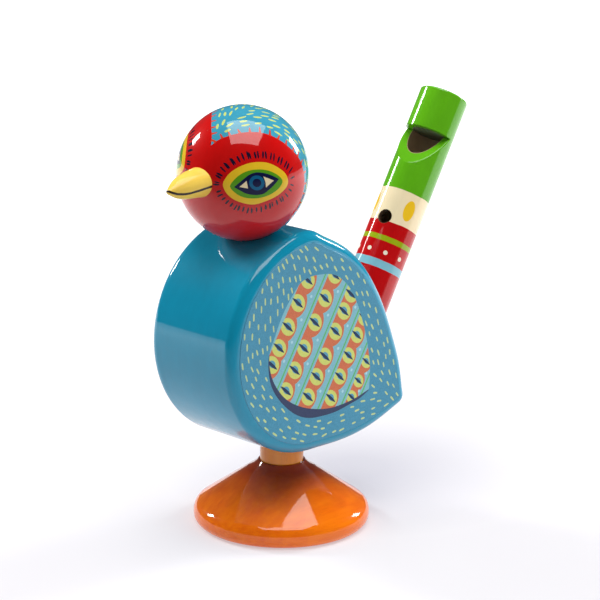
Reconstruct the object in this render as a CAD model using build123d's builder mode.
from build123d import *
import os
from math import sin, cos, radians, sqrt, atan2

# A bird-shaped wooden whistle (a vessel flute): a hollow teardrop body on a
# turned foot, a ball head with a beak, and a whistle tube for a tail.
# Millimetres. +Z up, the bird faces -Y, its left side is +X.
# Origin: centre of the foot's flat bottom face.

os.makedirs("parts", exist_ok=True)

# ---------------------------------------------------------------- dimensions
GLUE = 0.05                 # radial room for glue round every peg and ball

# body: three boards glued face to face
BODY_C = (-4.83, 70.55)     # centre of the round breast, (y, z)
BODY_R = 39.2               # radius of the round breast
BODY_W = 41.2               # full width over both printed sides
CHEEK_T = 6.0               # thickness of each outer board
PRINT_T = 0.25              # thickness of each printed side sheet
EDGE_R = 3.5                # rounded outer edge of the body
WALL = 10.0                 # rim left round the air chamber
TIP_C = (39.2, 42.2)        # centre of the small round at the tail tip
TIP_R = 4.0

# head
HEAD_C = (0.0, -19.64, 128.69)
HEAD_R = 22.5               # radius seen from above
HEAD_H = 23.05              # half height, the ball is a little tall
NECK_R = 4.0
NECK_TILT = 14.3            # the dowel stands square to the body's round top

# beak: sections along its axis, each (distance from the ball's centre, half
# width, half height, drop of its middle)
BEAK_YAW = 5.0              # the head looks a little to its left
BEAK_SECTIONS = [(17.0, 6.10, 4.80, 0.0), (24.0, 5.50, 4.75, 0.16), (28.0, 4.73, 4.29, 0.43),
                 (32.0, 3.45, 3.27, 0.83), (34.8, 1.95, 1.80, 1.10), (36.7, 0.80, 0.75, 1.22)]
BEAK_PEG_R = 2.5
BEAK_PEG_T = 13.3           # where the peg's end lies, from the ball's centre

# leg and foot
LEG_R = 7.75
LEG_Z0, LEG_Z1 = 8.0, 38.6
FOOT_R = 31.4
FOOT_H = 22.8

# whistle tube
TUBE_R = 9.15
BORE_R = 6.5
TUBE_O = (0.0, 40.04, 70.55)    # a point on the tube's axis
TUBE_TILT = 30.45               # lean back from upright, degrees
TUBE_TURN = 14.0                # window and finger hole turn towards +X
TUBE_S0, TUBE_S1 = -20.0, 85.4  # ends of the tube along its axis
STEP_S = 69.7                   # upstream edge of the sounding window
RAMP_S = 55.2                   # where the window's ramp leaves the outside
RAMP_A = 30.0                   # slope of the ramp, degrees
HOLE_S, HOLE_R = 33.6, 2.6      # finger hole
WINDWAY_H = 5.2                 # height of the block's flat over the axis
BLOCK_S1 = 85.0

CORE_T = BODY_W - 2 * CHEEK_T - 2 * PRINT_T
X_CORE = CORE_T / 2
X_WOOD = X_CORE + CHEEK_T

# ---------------------------------------------------------------- directions
ta, tr = radians(TUBE_TILT), radians(TUBE_TURN)
U = Vector(0, sin(ta), cos(ta))               # up the tube
N0 = Vector(0, -cos(ta), sin(ta))             # square to it, over the back
N = N0 * cos(tr) + Vector(1, 0, 0) * sin(tr)  # out through window and hole
B = U.cross(N)
P0 = Vector(*TUBE_O)
tube_base = Plane(origin=P0 + U * TUBE_S0, x_dir=B, z_dir=U)
tube_side = Plane(origin=P0, x_dir=U, z_dir=B)    # local x: along, y: out

na = radians(NECK_TILT)
NECK = Vector(0, -sin(na), cos(na))
BODY_O = Vector(0, BODY_C[0], BODY_C[1])

nb = radians(BEAK_YAW)
FWD = Vector(sin(nb), -cos(nb), 0)            # along the beak
SIDE = Vector(cos(nb), sin(nb), 0)            # across it, to the bird's left

# ---------------------------------------------------------------- outlines
# Teardrop outline, local x = y of the model, local y = z of the model: a
# round breast, a nearly flat belly, a small round tail tip, a sloping back.
a0 = radians(97.6)
A_PT = (BODY_C[0] + BODY_R * cos(a0), BODY_C[1] + BODY_R * sin(a0))
B_PT = (BODY_C[0], BODY_C[1] - BODY_R)
F_PT = (BODY_C[0] - BODY_R, BODY_C[1])
t1 = (0.350, -0.937)
t2 = (0.975, 0.223)
tm = (0.862, -0.507)
BELLY = [(10.6, 31.3), (26.1, 33.5)]
BACK = [(41.2, 52.9), (37.6, 63.8), (30.6, 79.7), (21.6, 92.9), (10.4, 102.3), (0.2, 107.4)]


def tip(v, r):
    return (TIP_C[0] + r * v[0], TIP_C[1] + r * v[1])


with BuildSketch() as outline:
    with BuildLine():
        ThreePointArc(A_PT, F_PT, B_PT)
        belly = Spline(B_PT, *BELLY, tip(t1, TIP_R), tangents=[(1, 0), (0.937, 0.350)])
        ThreePointArc(tip(t1, TIP_R), tip(tm, TIP_R), tip(t2, TIP_R))
        back = Spline(tip(t2, TIP_R), *BACK, A_PT, tangents=[(-0.223, 0.975), (-0.991, -0.132)])
    make_face()


def inside(edge, d, t):
    """Point at fraction t of an outline edge, moved d inwards."""
    p, v = edge @ t, edge % t
    return (p.X - v.Y * d, p.Y + v.X * d)


def ring(d, deg):
    r = BODY_R - d
    return (BODY_C[0] + r * cos(radians(deg)), BODY_C[1] + r * sin(radians(deg)))


# Sheet outline: the flat inside the rounded edge.
d = EDGE_R + 0.15
with BuildSketch() as print_outline:
    with BuildLine():
        ThreePointArc(ring(d, 97.6), ring(d, 180), ring(d, 270))
        Spline(ring(d, 270), *[inside(belly, d, t) for t in (0.25, 0.5, 0.75)], tip(t1, TIP_R - d),
               tangents=[(1, 0), (0.937, 0.350)])
        ThreePointArc(tip(t1, TIP_R - d), tip(tm, TIP_R - d), tip(t2, TIP_R - d))
        Spline(tip(t2, TIP_R - d), *[inside(back, d, t / 8) for t in range(1, 8)], ring(d, 97.6),
               tangents=[(-0.223, 0.975), (-0.991, -0.132)])
    make_face()

# Chamber outline: the same shape, WALL inside, with a large round at the tail.
with BuildSketch() as chamber_outline:
    with BuildLine():
        ThreePointArc(ring(WALL, 97.6), ring(WALL, 180), ring(WALL, 270))
        Spline(ring(WALL, 270), inside(belly, WALL, 0.30), inside(belly, WALL, 0.55),
               (28.6, 46.9), (31.3, 51.0),
               *[inside(back, WALL, t) for t in (0.22, 0.36, 0.5, 0.64, 0.78, 0.9)],
               ring(WALL, 97.6), tangents=[(1, 0), (-0.991, -0.132)])
    make_face()

# ---------------------------------------------------------------- ball shape
# The ball is a little taller than it is wide: two round caps joined by a side
# arc of larger radius.
SIDE_R = 23.55
CAP_H = 0.8525
CAP_R = HEAD_H - CAP_H
side_c = HEAD_R - SIDE_R
k = sqrt(side_c ** 2 + CAP_H ** 2)
jx, jz = -side_c / k, CAP_H / k          # direction of the joint between arcs
jt = atan2(jx, jz) / 2
head_plane = Plane(origin=HEAD_C, x_dir=(1, 0, 0), z_dir=(0, -1, 0))
head_axis = Axis(HEAD_C, (0, 0, 1))


def ball_points(grow):
    cr, sr = CAP_R + grow, SIDE_R + grow
    top = (0, CAP_H + cr)
    mid = (cr * sin(jt), CAP_H + cr * cos(jt))
    join = (side_c + sr * jx, sr * jz)
    side = (HEAD_R + grow, 0)
    return top, mid, join, side


top, mid, join, side = ball_points(0)
with BuildPart() as ball:
    with BuildSketch(head_plane):
        with BuildLine():
            ThreePointArc((0, -top[1]), (mid[0], -mid[1]), (join[0], -join[1]))
            ThreePointArc((join[0], -join[1]), side, join)
            ThreePointArc(join, mid, top)
            Line(top, (0, -top[1]))
        make_face()
    revolve(axis=head_axis)

# The same ball grown by the glue room: it cuts the seat in the body and the
# hollow back of the beak.
top, mid, join, side = ball_points(GLUE)
with BuildPart() as ball_room:
    with BuildSketch(head_plane):
        with BuildLine():
            ThreePointArc((0, -top[1]), (mid[0], -mid[1]), (join[0], -join[1]))
            ThreePointArc((join[0], -join[1]), side, join)
            ThreePointArc(join, mid, top)
            Line(top, (0, -top[1]))
        make_face()
    revolve(axis=head_axis)

# ---------------------------------------------------------------- foot
# Turned cone with a fat rounded rim, and a blind hole for the leg.
with BuildPart() as foot:
    with BuildSketch(Plane.XZ):
        with BuildLine():
            Line((0, 0), (28.6, 0))
            ThreePointArc((28.6, 0), (30.65, 1.15), (FOOT_R, 3.6))
            ThreePointArc((FOOT_R, 3.6), (31.0, 5.9), (29.5, 7.75))
            Line((29.5, 7.75), (12.2, 19.7))
            ThreePointArc((12.2, 19.7), (9.6, 21.5), (8.35, FOOT_H))
            Line((8.35, FOOT_H), (0, FOOT_H))
            Line((0, FOOT_H), (0, 0))
        make_face()
    revolve(axis=Axis.Z)
    with BuildSketch(Plane.XY.offset(LEG_Z0 - 0.2)):
        Circle(LEG_R + GLUE)
    extrude(amount=FOOT_H, mode=Mode.SUBTRACT)
foot.part.label = "foot"

# ---------------------------------------------------------------- leg
with BuildPart() as leg:
    with BuildSketch(Plane.XY.offset(LEG_Z0)):
        Circle(LEG_R)
    extrude(amount=LEG_Z1 - LEG_Z0)
    chamfer(leg.edges().filter_by(GeomType.CIRCLE), 0.6)
leg.part.label = "leg"

# ---------------------------------------------------------------- body core
# Middle board, cut right through for the air chamber. Blind holes for the
# leg and the neck dowel, a stepped socket for the tube, a seat for the head.
with BuildPart() as body_core:
    with BuildSketch(Plane.YZ):
        add(outline.sketch_local)
    extrude(amount=X_CORE, both=True)
    with BuildSketch(Plane.YZ):
        add(chamber_outline.sketch_local)
    extrude(amount=X_CORE, both=True, mode=Mode.SUBTRACT)
    # leg hole
    with BuildSketch(Plane.XY.offset(20)):
        Circle(LEG_R + GLUE)
    extrude(amount=LEG_Z1 + 0.1 - 20, mode=Mode.SUBTRACT)
    # neck dowel hole
    with BuildSketch(Plane(origin=BODY_O + NECK * (BODY_R - 7.4), z_dir=NECK)):
        Circle(NECK_R + GLUE)
    extrude(amount=20, mode=Mode.SUBTRACT)
    # tube socket, then the narrower air hole through to the chamber
    with BuildSketch(Plane(origin=P0 + U * (TUBE_S0 - 0.1), z_dir=U)):
        Circle(TUBE_R + GLUE)
    extrude(amount=60, mode=Mode.SUBTRACT)
    with BuildSketch(Plane(origin=P0 + U * TUBE_S0, z_dir=U)):
        Circle(BORE_R)
    extrude(amount=-26, mode=Mode.SUBTRACT)
    # seat for the head
    add(ball_room.part, mode=Mode.SUBTRACT)
body_core.part.label = "body_core"

# ---------------------------------------------------------------- cheeks
with BuildPart() as body_cheek_left:
    with BuildSketch(Plane.YZ.offset(X_CORE)):
        add(outline.sketch_local)
    extrude(amount=CHEEK_T)
    fillet(body_cheek_left.faces().sort_by(Axis.X)[-1].edges(), EDGE_R)
body_cheek_left.part.label = "body_cheek_left"

with BuildPart() as body_cheek_right:
    add(mirror(body_cheek_left.part, about=Plane.YZ, mode=Mode.PRIVATE))
body_cheek_right.part.label = "body_cheek_right"

# ---------------------------------------------------------------- side prints
with BuildPart() as side_print_left:
    with BuildSketch(Plane.YZ.offset(X_WOOD)):
        add(print_outline.sketch_local)
    extrude(amount=PRINT_T)
side_print_left.part.label = "side_print_left"

with BuildPart() as side_print_right:
    with BuildSketch(Plane.YZ.offset(-X_WOOD)):
        add(print_outline.sketch_local)
    extrude(amount=-PRINT_T)
side_print_right.part.label = "side_print_right"

# ---------------------------------------------------------------- head
HEAD_O = Vector(*HEAD_C)
PEG_O = HEAD_O - Vector(0, 0, 0.3)
with BuildPart() as head:
    add(ball.part)
    with BuildSketch(Plane(origin=BODY_O + NECK * (BODY_R - 10), z_dir=NECK)):
        Circle(NECK_R + GLUE)
    extrude(amount=10 + 14.2, mode=Mode.SUBTRACT)
    with BuildSketch(Plane(origin=PEG_O + FWD * (BEAK_PEG_T - 0.1), z_dir=FWD)):
        Circle(BEAK_PEG_R + GLUE)
    extrude(amount=15, mode=Mode.SUBTRACT)
head.part.label = "head"

# ---------------------------------------------------------------- neck dowel
with BuildPart() as neck_dowel:
    with BuildSketch(Plane(origin=BODY_O + NECK * (BODY_R - 7.3), z_dir=NECK)):
        Circle(NECK_R)
    extrude(amount=7.3 + 14.1)
    chamfer(neck_dowel.edges().filter_by(GeomType.CIRCLE), 0.5)
neck_dowel.part.label = "neck_dowel"

# ---------------------------------------------------------------- beak
# Lofted wedge with a hollow back that fits the ball, and a peg.
with BuildPart() as beak:
    for t, half_w, half_h, drop in BEAK_SECTIONS:
        with BuildSketch(Plane(origin=HEAD_O + FWD * t - Vector(0, 0, drop), x_dir=SIDE, z_dir=FWD)):
            Ellipse(half_w, half_h)
    loft()
    add(ball_room.part, mode=Mode.SUBTRACT)
    fillet(beak.faces().sort_by(Axis.Y)[0].edges(), 0.6)
    with BuildSketch(Plane(origin=PEG_O + FWD * BEAK_PEG_T, z_dir=FWD)):
        Circle(BEAK_PEG_R)
    extrude(amount=12)
beak.part.label = "beak"

# ---------------------------------------------------------------- whistle tube
tan_ramp = sin(radians(RAMP_A)) / cos(radians(RAMP_A))
STEP_H = TUBE_R - (STEP_S - RAMP_S) * tan_ramp
with BuildPart() as whistle_tube:
    with BuildSketch(tube_base):
        Circle(TUBE_R)
    extrude(amount=TUBE_S1 - TUBE_S0)
    fillet(whistle_tube.faces().filter_by(GeomType.PLANE).sort_by(Axis.Z)[-1].edges(), 0.8)
    with BuildSketch(tube_base):
        Circle(BORE_R)
    extrude(amount=TUBE_S1 - TUBE_S0, mode=Mode.SUBTRACT)
    # sounding window: a ramp that rises from the bore to the outside, ended
    # by a square step
    with BuildSketch(tube_side):
        with BuildLine():
            Polyline((RAMP_S - 3.0, TUBE_R + 3.0 * tan_ramp), (STEP_S, STEP_H),
                     (STEP_S, TUBE_R + 4.0), (RAMP_S - 3.0, TUBE_R + 4.0), close=True)
        make_face()
    extrude(amount=TUBE_R + 2, both=True, mode=Mode.SUBTRACT)
    # the outer rim of the ramp is rubbed round
    on_ramp = P0 + U * (RAMP_S + 3) + N * (TUBE_R - 3 * tan_ramp)
    ramp_face = whistle_tube.faces().filter_by(GeomType.PLANE).sort_by_distance(on_ramp)[0]
    ramp_rim = ramp_face.edges().sort_by_distance(P0 + U * RAMP_S + N * TUBE_R)[0]
    fillet(ramp_rim, 0.5)
    # slanted cut under the lip
    with BuildSketch(tube_side):
        with BuildLine():
            Polyline((TUBE_S1 - 16.0, -TUBE_R - 0.27), (TUBE_S1 + 1.0, -TUBE_R + 4.27),
                     (TUBE_S1 + 1.0, -TUBE_R - 4.0), (TUBE_S1 - 16.0, -TUBE_R - 4.0),
                     close=True)
        make_face()
    extrude(amount=TUBE_R + 2, both=True, mode=Mode.SUBTRACT)
    # finger hole
    with BuildSketch(Plane(origin=P0 + U * HOLE_S, z_dir=N)):
        Circle(HOLE_R)
    extrude(amount=TUBE_R + 3, mode=Mode.SUBTRACT)
whistle_tube.part.label = "whistle_tube"

# ---------------------------------------------------------------- fipple block
with BuildPart() as fipple_block:
    with BuildSketch(Plane(origin=P0 + U * STEP_S, x_dir=B, z_dir=U)):
        Circle(BORE_R - GLUE)
    extrude(amount=BLOCK_S1 - STEP_S)
    # the flat that leaves the windway
    with BuildSketch(tube_side):
        with Locations((STEP_S + 8.0, WINDWAY_H + 2.5)):
            Rectangle(20, 5)
    extrude(amount=BORE_R + 2, both=True, mode=Mode.SUBTRACT)
    with BuildSketch(tube_side):
        with BuildLine():
            Polyline((TUBE_S1 - 16.0, -TUBE_R - 0.27), (TUBE_S1 + 1.0, -TUBE_R + 4.27),
                     (TUBE_S1 + 1.0, -TUBE_R - 4.0), (TUBE_S1 - 16.0, -TUBE_R - 4.0),
                     close=True)
        make_face()
    extrude(amount=TUBE_R + 2, both=True, mode=Mode.SUBTRACT)
fipple_block.part.label = "fipple_block"

# ---------------------------------------------------------------- files
export_step(foot.part, "parts/foot.step")
export_step(leg.part, "parts/leg.step")
export_step(body_core.part, "parts/body_core.step")
export_step(body_cheek_left.part, "parts/body_cheek_left.step")
export_step(body_cheek_right.part, "parts/body_cheek_right.step")
export_step(side_print_left.part, "parts/side_print_left.step")
export_step(side_print_right.part, "parts/side_print_right.step")
export_step(head.part, "parts/head.step")
export_step(neck_dowel.part, "parts/neck_dowel.step")
export_step(beak.part, "parts/beak.step")
export_step(whistle_tube.part, "parts/whistle_tube.step")
export_step(fipple_block.part, "parts/fipple_block.step")
